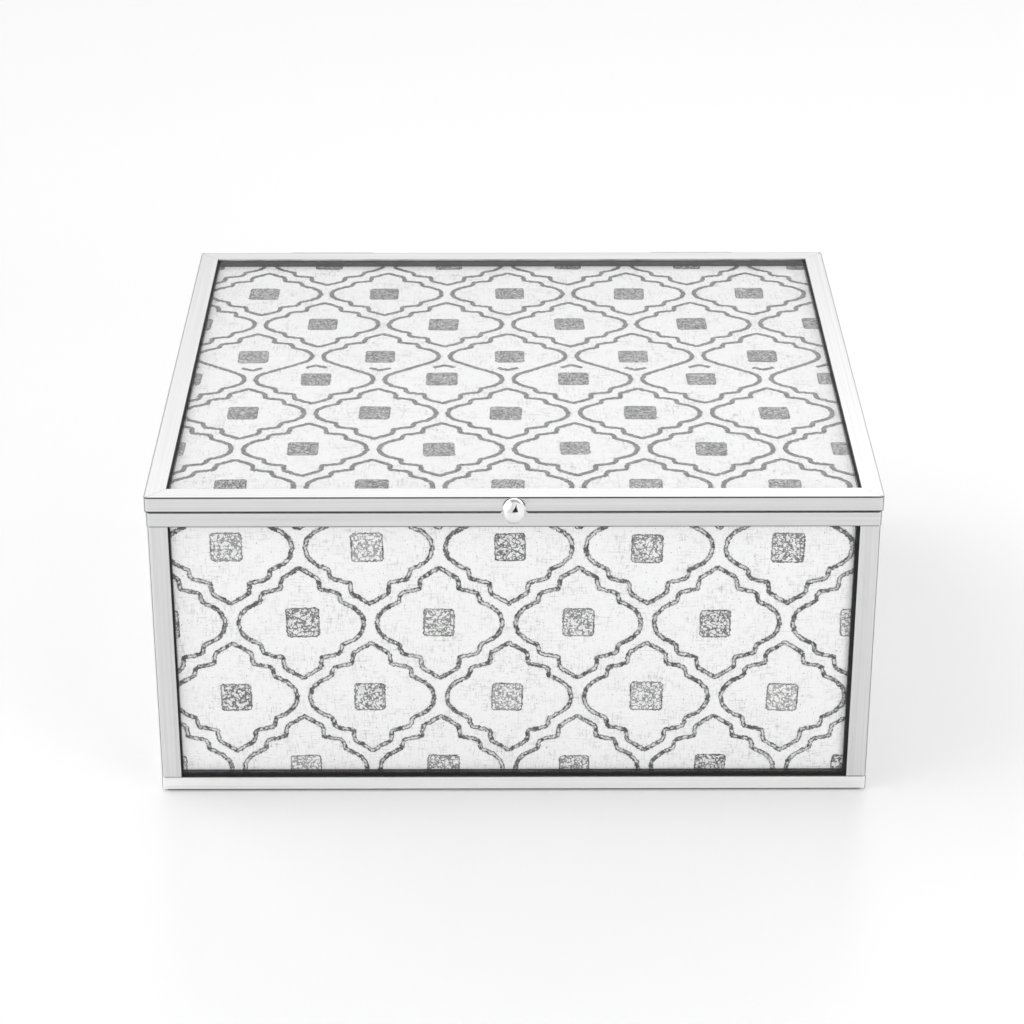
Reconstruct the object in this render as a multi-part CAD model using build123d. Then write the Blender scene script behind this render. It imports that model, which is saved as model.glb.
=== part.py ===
from build123d import *
import os

# The box stands on z = 0 with its middle on the Z axis. Its front looks along -Y. Lengths are in mm.

# Outer size of the lid
box_width = 190.0
box_depth = 171.0

# Heights, from the table up
felt_thickness = 0.5
base_rail_height = 4.0
post_length = 75.0
rim_rail_height = 4.1
lid_seam = 0.4
lid_rail_height = 4.0

# Bent metal strips of the frame
strip_thickness = 0.8
flange_width = 5.4
post_face_width = 5.4
corner_radius = 1.2
bend_radius = 0.3
base_bend_radius = 0.7
mitre_gap = 0.06
lid_overhang = 0.3
post_setback = 0.15

# Panes and the printed sheets behind them
glass_thickness = 1.7
sheet_thickness = 0.3
pane_setback = 0.4
pane_clearance = 0.05
pane_side_reveal = 0.8
pane_low_reveal = 1.2
pane_high_reveal = 0.1
front_pane_shift = -0.25
lid_pane_side_reveal = 0.7
lid_pane_front_reveal = 0.3
lid_pane_back_reveal = 0.8

# Boards, velvet and felt
floor_board_thickness = 3.0
wall_board_thickness = 3.0
lid_board_lift = 0.1
lining_thickness = 1.4
lining_clearance = 0.2
lining_edge_radius = 0.5
floor_pad_thickness = 2.5
floor_pad_edge_radius = 1.2
pad_clearance = 0.4
lid_lining_thickness = 2.5
lid_lining_edge_radius = 1.1
lid_lining_clearance = 0.9
felt_inset = 1.0
board_clearance = 0.05

# Ball knob
knob_ball_radius = 3.45
knob_neck_radius = 1.6
knob_neck_length = 0.4
knob_stud_radius = 0.8
knob_tail_radius = 1.1
knob_tail_thickness = 0.4
fastener_clearance = 0.05
tail_pocket_clearance = 0.1

# Two hinges on the back
hinge_inset = 40.0
hinge_width = 25.0
hinge_middle_knuckle = 8.4
knuckle_gap = 0.15
knuckle_radius = 1.6
pin_radius = 0.75
pin_clearance = 0.05
pin_head_radius = 1.2
pin_head_thickness = 0.4
pin_end_play = 0.1
knuckle_standoff = 0.1
leaf_thickness = 0.8
leaf_edge_margin = 0.2
leaf_knuckle_clearance = 0.15
nail_offset = 8.5
nail_head_radius = 0.95
nail_head_height = 0.5
nail_shank_radius = 0.45
nail_length = 2.6
lid_opening_angle = 100.0
heel_length = 3.4
heel_thickness = 1.0
heel_stop_gap = 0.05

# Levels that follow from the heights
base_low = felt_thickness
base_high = base_low + base_rail_height
rim_low = base_high + post_length
rim_high = rim_low + rim_rail_height
lid_low = rim_high + lid_seam
lid_high = lid_low + lid_rail_height
floor_low = base_low + strip_thickness
floor_high = floor_low + floor_board_thickness
under_rim = rim_high - strip_thickness
lid_pane_high = lid_high - pane_setback
lid_sheet_high = lid_pane_high - glass_thickness
lid_board_high = lid_sheet_high - sheet_thickness
lid_board_low = lid_low + lid_board_lift
under_lid_flange = lid_high - strip_thickness

# Layers of a wall, counted inwards from the outer face of the rails
strip_back = post_setback + strip_thickness
sheet_front = pane_setback + glass_thickness
board_front = sheet_front + sheet_thickness
board_back = board_front + wall_board_thickness
lining_back = board_back + lining_thickness

# Half sizes of the box below the lid, and of the lid
body_half_x = box_width / 2 - lid_overhang
body_half_y = box_depth / 2 - lid_overhang
lid_half_x = box_width / 2
lid_half_y = box_depth / 2

# Hinge line, at the height of the seam, and the middles of the two hinges on it
hinge_y = lid_half_y + knuckle_standoff + knuckle_radius
hinge_z = rim_high + lid_seam / 2
hinge_middles = (-lid_half_x + hinge_inset, lid_half_x - hinge_inset)


def block(x, y, z):
    """Solid between a low and a high limit on each axis."""
    limits = (x, y, z)
    middle = [(low + high) / 2 for low, high in limits]
    size = [high - low for low, high in limits]
    return Pos(*middle) * Box(*size)


def rounded_block(half_x, half_y, radius, z):
    """Upright block with rounded vertical edges, centred on the Z axis."""
    outline = RectangleRounded(2 * half_x, 2 * half_y, radius)
    return extrude(Pos(0, 0, z[0]) * outline, amount=z[1] - z[0])


def rod(radius, x, y_limits, z):
    """Round bar along Y between two limits."""
    length = y_limits[1] - y_limits[0]
    middle = (y_limits[0] + y_limits[1]) / 2
    return Pos(x, middle, z) * Rot(90, 0, 0) * Cylinder(radius, length)


def pin_bar(radius, x_limits):
    """Round bar along the hinge line between two limits."""
    length = x_limits[1] - x_limits[0]
    middle = (x_limits[0] + x_limits[1]) / 2
    return Pos(middle, hinge_y, hinge_z) * Rot(0, 90, 0) * Cylinder(radius, length)


def rail(half_length, distance, low, high, flange_on_top, bend):
    """Bent strip for the front: an upright face, one flange inwards and mitred ends."""
    edge, far_edge = (high, low) if flange_on_top else (low, high)
    inner = edge - strip_thickness if flange_on_top else edge + strip_thickness
    section = Polygon(
        (-distance, far_edge),
        (-distance, edge),
        (-distance + flange_width, edge),
        (-distance + flange_width, inner),
        (-distance + strip_thickness, inner),
        (-distance + strip_thickness, far_edge),
        align=None,
    )
    corner = section.vertices().sort_by_distance((-distance, edge, 0))[0]
    section = fillet(corner, bend)
    strip = extrude(Plane.YZ * section, amount=half_length, both=True)
    reach = 2 * flange_width
    trim = mitre_gap / 2**0.5
    outline = Polygon(
        (-half_length + trim, -distance),
        (half_length - trim, -distance),
        (half_length - reach - trim, -distance + reach),
        (-half_length + reach + trim, -distance + reach),
        align=None,
    )
    mitred = extrude(Pos(0, 0, low) * outline, amount=high - low)
    return strip & mitred & rounded_block(half_length, distance, corner_radius, (low, high))


def corner_post():
    """Bent upright strip of the front left corner."""
    outer_x = body_half_x - post_setback
    outer_y = body_half_y - post_setback
    z = (base_high, rim_low)
    shell = rounded_block(outer_x, outer_y, corner_radius, z)
    inner_x = outer_x - strip_thickness
    inner_y = outer_y - strip_thickness
    shell -= block((-inner_x, inner_x), (-inner_y, inner_y), z)
    corner = block(
        (-outer_x, -outer_x + post_face_width),
        (-outer_y, -outer_y + post_face_width),
        z,
    )
    return shell & corner


def wall_layer(half_length, distance, depths, z):
    """Flat layer of the front wall between two depths behind its outer face."""
    return block(
        (-half_length, half_length),
        (-distance + depths[0], -distance + depths[1]),
        z,
    )


def pane_limits(half_length, shift):
    """Left, right, low and high edges of a wall's pane."""
    half_pane = half_length - post_setback - post_face_width - pane_side_reveal
    sides = (-half_pane + shift, half_pane + shift)
    heights = (base_high + pane_low_reveal, rim_low - pane_high_reveal)
    return sides, heights


def grow(limits, margin):
    """The same limits moved apart by a margin on each side."""
    return (limits[0] - margin, limits[1] + margin)


def soften(solid, axis, radius):
    """Rounds the edges of the face that lies furthest along an axis."""
    face = solid.faces().sort_by(axis)[-1]
    return fillet(face.edges(), radius)


def wall_lining(half_length, distance):
    """Velvet-covered card on the inside of a wall board, with a rounded top edge."""
    card = wall_layer(half_length, distance, (board_back, lining_back), (floor_high, under_rim))
    return soften(card, Axis.Y, lining_edge_radius)


def build_wall(side, angle, half_length, distance, overlaps_sides):
    """The pieces of one wall, made at the front and turned to their side."""
    shift = front_pane_shift if side == "front" else 0.0
    sides, heights = pane_limits(half_length, shift)
    full_height = (floor_high, under_rim)
    spacer_half = half_length - (strip_back if overlaps_sides else board_front)
    board_half = half_length - (board_front if overlaps_sides else board_back)
    lining_half = half_length - (board_back if overlaps_sides else lining_back)
    pane = (sides, (-distance + pane_setback, -distance + sheet_front), heights)
    sheet = (sides, (-distance + sheet_front, -distance + board_front), heights)
    window = block(
        grow(sides, pane_clearance),
        (-distance, -distance + board_front),
        grow(heights, pane_clearance),
    )
    pieces = {
        "base_rail": rail(half_length, distance, base_low, base_high, False, base_bend_radius),
        "rim_rail": rail(half_length, distance, rim_low, rim_high, True, bend_radius),
        "glass": block(*pane),
        "printed_sheet": block(*sheet),
        "edge_spacer": wall_layer(spacer_half, distance, (strip_back, board_front), full_height) - window,
        "wall_board": wall_layer(board_half, distance, (board_front, board_back), full_height),
        "wall_lining": wall_lining(lining_half - lining_clearance, distance),
    }
    return {f"{name}_{side}": Rot(0, 0, angle) * solid for name, solid in pieces.items()}


def build_posts():
    """Four corner posts, mirrored from the front left one."""
    front_left = corner_post()
    back_left = mirror(front_left, about=Plane.XZ)
    return {
        "corner_post_front_left": front_left,
        "corner_post_front_right": mirror(front_left, about=Plane.YZ),
        "corner_post_back_left": back_left,
        "corner_post_back_right": mirror(back_left, about=Plane.YZ),
    }


def build_floor():
    """Floor board on the base flanges, velvet pad above it and felt below the frame."""
    board_x = body_half_x - strip_back - board_clearance
    board_y = body_half_y - strip_back - board_clearance
    pad_x = body_half_x - lining_back - pad_clearance
    pad_y = body_half_y - lining_back - pad_clearance
    pad_high = floor_high + floor_pad_thickness
    pad = block((-pad_x, pad_x), (-pad_y, pad_y), (floor_high, pad_high))
    felt_x = body_half_x - felt_inset
    felt_y = body_half_y - felt_inset
    return {
        "floor_board": block((-board_x, board_x), (-board_y, board_y), (floor_low, floor_high)),
        "floor_pad": soften(pad, Axis.Z, floor_pad_edge_radius),
        "base_felt": rounded_block(felt_x, felt_y, corner_radius, (0, felt_thickness)),
    }


def build_lid_panel():
    """Pane, printed sheet, spacer, board and velvet lining inside the lid's rails."""
    half_pane = lid_half_x - flange_width - lid_pane_side_reveal
    sides = (-half_pane, half_pane)
    front_edge = -lid_half_y + flange_width + lid_pane_front_reveal
    back_edge = lid_half_y - flange_width - lid_pane_back_reveal
    ends = (front_edge, back_edge)
    board_x = lid_half_x - strip_thickness - board_clearance
    board_y = lid_half_y - strip_thickness - board_clearance
    spacer_z = (lid_board_high, under_lid_flange)
    spacer = block((-board_x, board_x), (-board_y, board_y), spacer_z)
    spacer -= block(grow(sides, pane_clearance), grow(ends, pane_clearance), spacer_z)
    lining_x = body_half_x - lining_back - lid_lining_clearance
    lining_y = body_half_y - lining_back - lid_lining_clearance
    lining_z = (lid_board_low - lid_lining_thickness, lid_board_low)
    lining = block((-lining_x, lining_x), (-lining_y, lining_y), lining_z)
    return {
        "lid_glass": block(sides, ends, (lid_sheet_high, lid_pane_high)),
        "lid_printed_sheet": block(sides, ends, (lid_board_high, lid_sheet_high)),
        "lid_edge_spacer": spacer,
        "lid_board": block((-board_x, board_x), (-board_y, board_y), (lid_board_low, lid_board_high)),
        "lid_lining": soften(lining, -Axis.Z, lid_lining_edge_radius),
    }


def build_lid_rails():
    """Four mitred strips round the lid."""
    sides = {
        "front": (0, lid_half_x, lid_half_y),
        "right": (90, lid_half_y, lid_half_x),
        "back": (180, lid_half_x, lid_half_y),
        "left": (270, lid_half_y, lid_half_x),
    }
    rails = {}
    for side, (angle, half_length, distance) in sides.items():
        strip = rail(half_length, distance, lid_low, lid_high, True, bend_radius)
        rails[f"lid_rail_{side}"] = Rot(0, 0, angle) * strip
    return rails


def build_knob():
    """Ball on a short neck, and the stud that is peened over behind the lid's front rail."""
    stud_z = (lid_low + lid_high) / 2
    face_y = -lid_half_y
    rail_back = face_y + strip_thickness
    reach = (knob_ball_radius**2 - knob_neck_radius**2) ** 0.5
    ball_y = face_y - knob_neck_length - reach
    neck_end = reach + knob_neck_length
    hole_radius = knob_stud_radius + fastener_clearance
    profile = Polyline(
        (knob_neck_radius, reach),
        (knob_neck_radius, neck_end),
        (hole_radius, neck_end),
        (hole_radius, -fastener_clearance),
        (0, -fastener_clearance),
        (0, -knob_ball_radius),
    )
    profile += ThreePointArc((0, -knob_ball_radius), (knob_ball_radius, 0), (knob_neck_radius, reach))
    ball = Pos(0, ball_y, stud_z) * revolve(make_face(profile), Axis.Y)
    stud = rod(knob_stud_radius, 0, (ball_y, rail_back), stud_z)
    tail_back = rail_back + knob_tail_thickness
    stud += rod(knob_tail_radius, 0, (rail_back, tail_back), stud_z)
    hole = rod(hole_radius, 0, (face_y, rail_back), stud_z)
    pocket_radius = knob_tail_radius + tail_pocket_clearance
    pocket = rod(pocket_radius, 0, (rail_back, tail_back + tail_pocket_clearance), stud_z)
    return {"knob_ball": ball, "knob_stud": stud}, hole, pocket


def nails(plate_y, z):
    """Hinge nails through a leaf: their solids, and the holes that they need."""
    solids = []
    holes = []
    for hinge_x in hinge_middles:
        for x in (hinge_x - nail_offset, hinge_x + nail_offset):
            outer = plate_y + leaf_thickness
            span = (outer - nail_length, outer)
            head = rod(nail_head_radius, x, (outer, outer + nail_head_height), z)
            rim = head.edges().sort_by(Axis.Y)[-1]
            head = fillet(rim, nail_head_height * 0.6)
            solids.append(head + rod(nail_shank_radius, x, span, z))
            holes.append(rod(nail_shank_radius + fastener_clearance, x, span, z))
    return Compound(children=solids), holes


def hinge_leaf_on_box(middle_x):
    """Leaf on the back rim rail with the two outer knuckles."""
    plate_y = (body_half_y, body_half_y + leaf_thickness)
    low = rim_low + leaf_edge_margin
    middle_top = hinge_z - knuckle_radius - leaf_knuckle_clearance
    half_width = hinge_width / 2
    half_middle = hinge_middle_knuckle / 2 + knuckle_gap
    leaf = block((middle_x - half_width, middle_x + half_width), plate_y, (low, middle_top))
    for side in (-1, 1):
        near, far = sorted((middle_x + side * half_middle, middle_x + side * half_width))
        leaf += block((near, far), plate_y, (low, hinge_z))
        leaf += pin_bar(knuckle_radius, (near, far))
    return leaf - pin_bar(pin_radius + pin_clearance, (middle_x - half_width, middle_x + half_width))


def hinge_leaf_on_lid(middle_x):
    """Leaf on the lid's back rail with the middle knuckle and the heel that stops the lid."""
    plate_y = (lid_half_y, lid_half_y + leaf_thickness)
    high = lid_high - leaf_edge_margin
    outer_low = hinge_z + knuckle_radius + leaf_knuckle_clearance
    half_width = hinge_width / 2
    half_middle = hinge_middle_knuckle / 2
    middle_span = (middle_x - half_middle, middle_x + half_middle)
    leaf = block((middle_x - half_width, middle_x + half_width), plate_y, (outer_low, high))
    leaf += block(middle_span, plate_y, (hinge_z, high))
    stop_y = body_half_y + leaf_thickness + heel_stop_gap - hinge_y
    heel = block(middle_span, (stop_y, stop_y + heel_thickness), (-heel_length, 0))
    leaf += Pos(0, hinge_y, hinge_z) * Rot(lid_opening_angle, 0, 0) * heel
    leaf += pin_bar(knuckle_radius, middle_span)
    return leaf - pin_bar(pin_radius + pin_clearance, middle_span)


def hinge_pin(middle_x):
    """Headed pin through the three knuckles of one hinge."""
    end = hinge_width / 2 + pin_end_play
    pin = pin_bar(pin_radius, (middle_x - end, middle_x + end))
    pin += pin_bar(pin_head_radius, (middle_x - end - pin_head_thickness, middle_x - end))
    pin += pin_bar(pin_head_radius, (middle_x + end, middle_x + end + pin_head_thickness))
    return pin


def drill(parts, names, cutters):
    """Cuts the same holes through several pieces."""
    for name in names:
        for cutter in cutters:
            parts[name] -= cutter


def build_box():
    """Every piece of the jewelry box, by name."""
    parts = {}
    parts |= build_wall("front", 0, body_half_x, body_half_y, True)
    parts |= build_wall("right", 90, body_half_y, body_half_x, False)
    parts |= build_wall("back", 180, body_half_x, body_half_y, True)
    parts |= build_wall("left", 270, body_half_y, body_half_x, False)
    parts |= build_posts()
    parts |= build_floor()
    parts |= build_lid_rails()
    parts |= build_lid_panel()
    knob_parts, knob_hole, tail_pocket = build_knob()
    parts |= knob_parts
    drill(parts, ["lid_rail_front"], [knob_hole])
    drill(parts, ["lid_edge_spacer", "lid_board"], [tail_pocket])
    for side, middle_x in zip(("left", "right"), hinge_middles):
        parts[f"hinge_leaf_box_{side}"] = hinge_leaf_on_box(middle_x)
        parts[f"hinge_leaf_lid_{side}"] = hinge_leaf_on_lid(middle_x)
        parts[f"hinge_pin_{side}"] = hinge_pin(middle_x)
    box_leaf_low = rim_low + leaf_edge_margin
    box_leaf_high = hinge_z - knuckle_radius - leaf_knuckle_clearance
    box_nails, box_holes = nails(body_half_y, (box_leaf_low + box_leaf_high) / 2)
    lid_leaf_low = hinge_z + knuckle_radius + leaf_knuckle_clearance
    lid_leaf_high = lid_high - leaf_edge_margin
    lid_nails, lid_holes = nails(lid_half_y, (lid_leaf_low + lid_leaf_high) / 2)
    parts["hinge_nails_box"] = box_nails
    parts["hinge_nails_lid"] = lid_nails
    box_leaves = ["hinge_leaf_box_left", "hinge_leaf_box_right"]
    lid_leaves = ["hinge_leaf_lid_left", "hinge_leaf_lid_right"]
    drill(parts, [*box_leaves, "rim_rail_back", "edge_spacer_back"], box_holes)
    drill(parts, [*lid_leaves, "lid_rail_back", "lid_edge_spacer"], lid_holes)
    return parts


os.makedirs("parts", exist_ok=True)
for node, solid in build_box().items():
    export_step(solid, f"parts/{node}.step")
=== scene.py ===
from math import cos, pi, radians, sin, sqrt, tanh

import bmesh
import bpy
from mathutils import Matrix, Vector, noise


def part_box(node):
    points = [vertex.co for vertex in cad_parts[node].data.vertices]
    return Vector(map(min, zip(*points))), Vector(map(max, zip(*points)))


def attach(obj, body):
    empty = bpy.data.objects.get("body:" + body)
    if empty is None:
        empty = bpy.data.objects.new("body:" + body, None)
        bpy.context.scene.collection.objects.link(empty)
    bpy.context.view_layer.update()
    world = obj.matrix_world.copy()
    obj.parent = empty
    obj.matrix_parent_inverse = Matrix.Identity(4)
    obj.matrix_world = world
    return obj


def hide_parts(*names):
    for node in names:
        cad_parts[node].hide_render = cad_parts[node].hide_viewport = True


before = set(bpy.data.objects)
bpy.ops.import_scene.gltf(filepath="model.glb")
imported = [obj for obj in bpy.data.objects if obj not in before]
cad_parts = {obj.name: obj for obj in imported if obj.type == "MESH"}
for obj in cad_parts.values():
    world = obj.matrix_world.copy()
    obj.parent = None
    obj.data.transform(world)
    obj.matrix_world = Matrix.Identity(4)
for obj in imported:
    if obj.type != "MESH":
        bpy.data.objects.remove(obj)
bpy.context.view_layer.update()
mm = 0.001


# Node trees, written as sums

class Wire:  # an output socket that takes part in sums
    def __init__(self, bench, socket):
        self.bench = bench
        self.socket = socket

    def __add__(self, other):
        return self.bench.maths("ADD", self, other)

    def __radd__(self, other):
        return self.bench.maths("ADD", other, self)

    def __sub__(self, other):
        return self.bench.maths("SUBTRACT", self, other)

    def __rsub__(self, other):
        return self.bench.maths("SUBTRACT", other, self)

    def __mul__(self, other):
        return self.bench.maths("MULTIPLY", self, other)

    def __rmul__(self, other):
        return self.bench.maths("MULTIPLY", other, self)

    def __truediv__(self, other):
        return self.bench.maths("DIVIDE", self, other)

    def __mod__(self, other):
        return self.bench.maths("MODULO", self, other)

    def __gt__(self, other):
        return self.bench.maths("GREATER_THAN", self, other)

    def __lt__(self, other):
        return self.bench.maths("LESS_THAN", self, other)

    def __abs__(self):
        return self.bench.maths("ABSOLUTE", self)


class Bench:  # a node tree that is filled node by node
    def __init__(self, tree):
        self.tree = tree
        tree.nodes.clear()

    def pick(self, sockets, key):
        if isinstance(key, int):
            return sockets[key]
        return next(s for s in sockets if s.name == key and s.enabled)

    def node(self, kind, settings=None, values=None, output=0):
        made = self.tree.nodes.new(kind)
        for name, value in (settings or {}).items():
            setattr(made, name, value)
        for key, value in (values or {}).items():
            socket = self.pick(made.inputs, key)
            for source in value if isinstance(value, list) else [value]:
                if isinstance(source, Wire):
                    self.tree.links.new(source.socket, socket)
                else:
                    socket.default_value = source
        return Wire(self, self.pick(made.outputs, output)) if made.outputs else made

    def maths(self, operation, *terms):
        return self.node("ShaderNodeMath", {"operation": operation}, dict(enumerate(terms)))

    def vectorMaths(self, operation, *terms):
        return self.node("ShaderNodeVectorMath", {"operation": operation}, dict(enumerate(terms)))

    def vector(self, x, y, z):
        return self.node("ShaderNodeCombineXYZ", {}, {"X": x, "Y": y, "Z": z})

    def spread(self, value, low, high, start=0.0, end=1.0):  # eased from start at low to end at high
        limits = {"Value": value, "From Min": low, "From Max": high, "To Min": start, "To Max": end}
        return self.node("ShaderNodeMapRange", {"interpolation_type": "SMOOTHSTEP"}, limits)

    def blend(self, share, colourA, colourB):
        return self.node("ShaderNodeMix", {"data_type": "RGBA"}, {0: share, 6: colourA, 7: colourB}, 2)

    def greys(self, share, darkest=0.0, lightest=1.0):  # a grey between two tones
        return self.blend(share, grey(darkest), grey(lightest))

    def grain(self, point, scale, detail=2.0, roughness=0.5):
        values = {"Vector": point, "Scale": scale, "Detail": detail, "Roughness": roughness}
        return self.node("ShaderNodeTexNoise", {}, values)

    def objectPoint(self, stretch=(1, 1, 1)):  # place on the piece, in metres, stretched along the axes
        point = self.node("ShaderNodeTexCoord", {}, {}, "Object")
        return self.node("ShaderNodeMapping", {}, {"Vector": point, "Scale": stretch})

    def attribute(self, name, output="Fac"):
        return self.node("ShaderNodeAttribute", {"attribute_name": name}, {}, output)

    def random(self, low, high, seed, kind="FLOAT"):
        values = {"Min": low, "Max": high, "Seed": seed}
        return self.node("FunctionNodeRandomValue", {"data_type": kind}, values, "Value")

    def store(self, geometry, name, value, kind="FLOAT"):
        values = {"Geometry": geometry, "Name": name, "Value": value}
        return self.node("GeometryNodeStoreNamedAttribute", {"data_type": kind}, values)


def grey(value):
    return (value, value, value, 1.0)


def newMaterial(name):
    material = bpy.data.materials.new(name)
    material.use_nodes = True
    return material, Bench(material.node_tree)


def coat(bench, values):  # closes a material with one Principled shader
    shader = bench.node("ShaderNodeBsdfPrincipled", {}, values)
    bench.node("ShaderNodeOutputMaterial", {}, {"Surface": shader})


def bump(bench, height, distance):
    return bench.node("ShaderNodeBump", {}, {"Height": height, "Distance": distance, "Strength": 1.0})


# Finishes

brushedSteel = {
    "tone": 0.73,
    "baseTone": 0.97,  # painted light: the foot rails get a lighter copy of the steel, to make up for the floor's shade mirrored in them
    "streakTone": 0.28,
    "roughness": 0.30,
    "roughnessSpread": 0.12,
    "alongScale": 9.0,  # per metre along the strip
    "acrossScale": 1500.0,
    "cloudScale": 60.0,
    "cloudTone": 0.04,
    "cloudRoughness": 0.08,
    "depth": 0.003 * mm,
}
paintedEdgeShade = {  # painted shade: dark lines painted along the folds, the free edges and the mitres, where shade and dark reflections fall
    "tone": 0.07,
    "half": 0.12 * mm,
    "soft": 0.16 * mm,
    "reach": 0.45 * mm,
    "corner": 1.2 * mm,
    "mitreShare": 0.75,
    "foldAlongX": 1.0,
    "foldAlongY": 0.3,
    "underLid": 0.8,
    "underRail": 0.9,
    "overRail": 0.5,
}


# How much painted shade a place gets, as dark lines along the folds, edges and mitres; outer is the far
# corner of the frame
def edgeShadeMask(bench, levels, outer):
    look = paintedEdgeShade
    place = bench.node("ShaderNodeSeparateXYZ", {}, {0: bench.objectPoint()})
    x, y, z = [Wire(bench, place.socket.node.outputs[k]) for k in range(3)]
    fromSide = outer.x - abs(x)
    fromFront = outer.y - abs(y)
    outermost = bench.maths("MINIMUM", fromSide, fromFront)
    onFace = 1.0 - bench.spread(outermost, look["reach"] * 0.7, look["reach"])
    lines = 0.0
    for level, strength in levels:
        line = 1.0 - bench.spread(abs(z - level), look["half"], look["half"] + look["soft"])
        lines = bench.maths("MAXIMUM", lines, line * strength)
    mitre = 1.0 - bench.spread(abs(fromSide - fromFront), look["half"], look["half"] + look["soft"])
    innermost = bench.maths("MAXIMUM", fromSide, fromFront)
    nearCorner = 1.0 - bench.spread(innermost, look["corner"] * 0.8, look["corner"])
    return bench.maths("MAXIMUM", lines * onFace, mitre * nearCorner * look["mitreShare"])


def makeBrushedSteel(name, axis, levels, outer, tone):
    look = brushedSteel
    material, bench = newMaterial(name)
    stretch = tuple(look["alongScale"] if i == axis else look["acrossScale"] for i in range(3))
    streaks = bench.grain(bench.objectPoint(stretch), 1.0, 3.0, 0.65)
    clouds = bench.grain(bench.objectPoint(), look["cloudScale"], 2.0)
    lightness = tone + (streaks - 0.5) * look["streakTone"] + (clouds - 0.5) * look["cloudTone"]
    # painted shade: dark lines along the folds, the gaps under and over the rails, and the mitres
    dark = edgeShadeMask(bench, levels, outer)
    sheen = look["roughness"] + (streaks - 0.5) * look["roughnessSpread"]
    coat(bench, {
        "Base Color": bench.blend(dark, bench.greys(lightness), grey(paintedEdgeShade["tone"])),
        "Metallic": 1.0,
        "Roughness": sheen + (clouds - 0.5) * look["cloudRoughness"],
        "Normal": bump(bench, streaks, look["depth"]),
    })
    return material


polishedChrome = {
    "tone": 0.89,
    "smearedTone": 0.83,
    "roughness": 0.07,
    "smearedRoughness": 0.13,
    "smearScale": 350.0,
}


def makePolishedChrome():
    look = polishedChrome
    material, bench = newMaterial("polishedChrome")
    smears = bench.grain(bench.objectPoint(), look["smearScale"], 3.0, 0.6)
    coat(bench, {
        "Base Color": bench.greys(smears, look["smearedTone"], look["tone"]),
        "Metallic": 1.0,
        "Roughness": bench.spread(smears, 0.4, 0.8, look["roughness"], look["smearedRoughness"]),
    })
    return material


hingeSteel = {
    "tone": 0.66,
    "wornTone": 0.50,
    "roughness": 0.26,
    "roughnessSpread": 0.2,
    "grainScale": 900.0,
    "wearScale": 180.0,
    "depth": 0.006 * mm,
}


def makeHingeSteel():
    look = hingeSteel
    material, bench = newMaterial("hingeSteel")
    fine = bench.grain(bench.objectPoint(), look["grainScale"], 3.0, 0.6)
    wear = bench.grain(bench.objectPoint(), look["wearScale"], 2.0)
    coat(bench, {
        "Base Color": bench.greys(wear, look["wornTone"], look["tone"]),
        "Metallic": 1.0,
        "Roughness": look["roughness"] + (wear - 0.5) * look["roughnessSpread"],
        "Normal": bump(bench, fine, look["depth"]),
    })
    return material


paneGlass = {
    "headOn": 0.02,  # share mirrored, head on and edge on
    "edgeOn": 0.60,
    "rise": 5.0,
    "roughness": 0.015,
    "clear": 0.995,
}


def makePaneGlass():
    look = paneGlass
    material, bench = newMaterial("paneGlass")
    clear = bench.node("ShaderNodeBsdfTransparent", {}, {"Color": grey(look["clear"])})
    gloss = bench.node("ShaderNodeBsdfGlossy", {}, {"Color": grey(1.0), "Roughness": look["roughness"]})
    glancing = bench.node("ShaderNodeLayerWeight", {}, {"Blend": 0.5}, "Facing")
    steep = bench.maths("POWER", glancing, look["rise"])
    share = look["headOn"] + (look["edgeOn"] - look["headOn"]) * steep
    mixed = bench.node("ShaderNodeMixShader", {}, {0: share, 1: clear, 2: gloss})
    bench.node("ShaderNodeOutputMaterial", {}, {"Surface": mixed})
    return material


linenPaper = {
    "tone": 0.90,
    # painted shade: the lid's copy of the paper is darker, to make up for the stronger light on top
    "lidTone": 0.85,
    "threadTone": 0.21,
    "leastWorn": 0.25,
    "speckTone": 0.55,
    "alongScale": 340.0,  # threads are short strokes, along both ways of the weave
    "acrossScale": 2300.0,
    "speckScale": 1900.0,
    "patchScale": 120.0,
    "roughness": 0.75,
}


def paperTone(bench, flatAxis):  # lightness of the linen on a sheet that is square to flatAxis
    look = linenPaper
    threads = 0.0
    for along in range(3):
        if along == flatAxis:
            continue
        stretch = tuple(look["alongScale"] if i == along else look["acrossScale"] for i in range(3))
        strokes = bench.grain(bench.objectPoint(stretch), 1.0, 2.0, 0.55)
        threads = threads + bench.spread(strokes, 0.50, 0.72)
    patches = bench.grain(bench.objectPoint(), look["patchScale"], 2.0)
    worn = bench.spread(patches, 0.35, 0.65, look["leastWorn"], 1.0)
    specks = bench.spread(bench.grain(bench.objectPoint(), look["speckScale"], 1.0), 0.68, 0.76)
    # painted shade: the lid's paper is darker than the walls' paper, to make up for the stronger light on top
    tone = look["lidTone"] if flatAxis == 2 else look["tone"]
    return tone - threads * worn * look["threadTone"] - specks * look["speckTone"]


def makeLinenPaper(name, flatAxis):
    material, bench = newMaterial(name)
    coat(bench, {
        "Base Color": bench.greys(paperTone(bench, flatAxis)),
        "Roughness": linenPaper["roughness"],
    })
    return material


greyInk = {
    "tone": 0.030,
    "lidTone": 0.012,
    "strokeAt": 0.55,  # a line is two dark strokes with a worn fill; places are shares of its half width
    "strokeSpread": 0.30,
    "endsAt": 0.88,
    "fray": 1.30,
    "leastFill": 0.20,
    "mostFill": 0.95,
    "lidLineFill": 0.80,  # how much more solid the ink is on the lid
    "lidSquareFill": 0.33,
    "grainScale": 1700.0,
    "blotScale": 700.0,
    "wormScale": 1100.0,
    "squareRim": 0.50 * mm,
    "squareMargin": 0.22 * mm,
    "squareRounding": 1.3 * mm,
    "squareFray": 0.80 * mm,
    "roughness": 0.7,
}


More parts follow.
